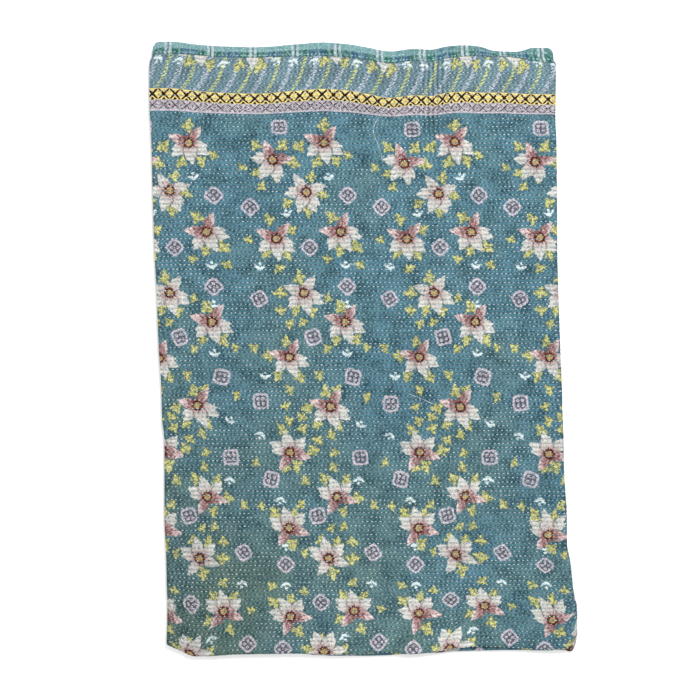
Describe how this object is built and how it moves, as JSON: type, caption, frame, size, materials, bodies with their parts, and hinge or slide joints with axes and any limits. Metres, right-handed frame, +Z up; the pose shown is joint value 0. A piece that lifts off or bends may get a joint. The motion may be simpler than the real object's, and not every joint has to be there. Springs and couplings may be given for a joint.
{
  "type": "kantha quilt",
  "caption": "Thin hand-stitched cotton quilt with a floral print and a check-cloth end binding, folded in four and laid flat.",
  "frame": {"origin": "middle of the part's box in plan, on the surface that the folded quilt rests on", "axes": "+Y towards the bound end, along the folded length; +X towards the lengthwise fold; +Z up, through the layers"},
  "size_m": [0.8066, 1.1586, 0.0189],
  "materials": {
    "printed_cotton": "soft, washed, printed cotton layers with close rows of running stitch; base_color is the print's blue-green ground",
    "check_cotton": "thin woven check cotton in blue-green, green and blue with paired white lines"
  },
  "bodies": {
    "root": {"quilt_cloth": "printed_cotton", "end_binding": "check_cotton"}
  },
  "joints": []
}
